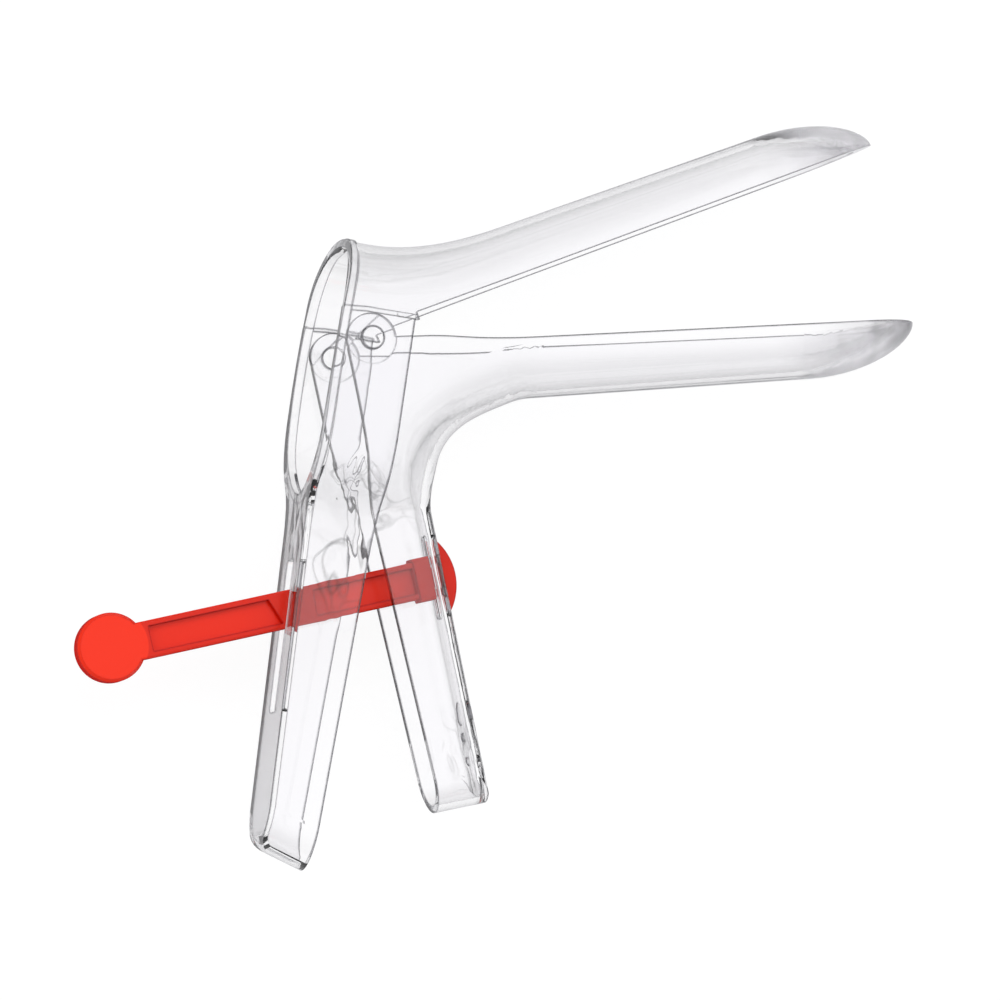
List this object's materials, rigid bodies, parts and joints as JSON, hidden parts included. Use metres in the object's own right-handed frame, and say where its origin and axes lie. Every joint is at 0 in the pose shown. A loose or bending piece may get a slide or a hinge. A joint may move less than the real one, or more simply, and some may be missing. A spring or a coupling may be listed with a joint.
{
  "type": "bivalve speculum",
  "caption": "Disposable clear-plastic bivalve speculum: hinged blades with tray handles, held open by a slotted-in red locking strap.",
  "frame": {"origin": "hinge axis, where it meets the outer face of the cheek that the object lies on", "axes": "+X along the lower blade to its tip, +Y from the handles up to the upper blade, +Z along the hinge axis, away from the resting face"},
  "size_m": [0.1875, 0.1508, 0.036],
  "materials": {
    "clear_plastic": "clear, polished moulding",
    "red_plastic": "translucent red, polished moulding"
  },
  "bodies": {
    "upper": {"upper_valve": "clear_plastic"},
    "lower": {"lower_valve": "clear_plastic"},
    "strap": {"locking_strap": "red_plastic"}
  },
  "joints": [
    {"name": "blade_hinge", "type": "hinge", "parent": "upper", "child": "lower", "pos_m": [0, 0, 0.018], "axis": [0, 0, -1], "range_deg": [-16.5, 16.5]},
    {"name": "strap_twist", "type": "hinge", "parent": "lower", "child": "strap", "pos_m": [0.01312, -0.04909, 0.018], "axis": [-0.989, -0.1478, 0], "range_deg": [-7, 7]}
  ]
}
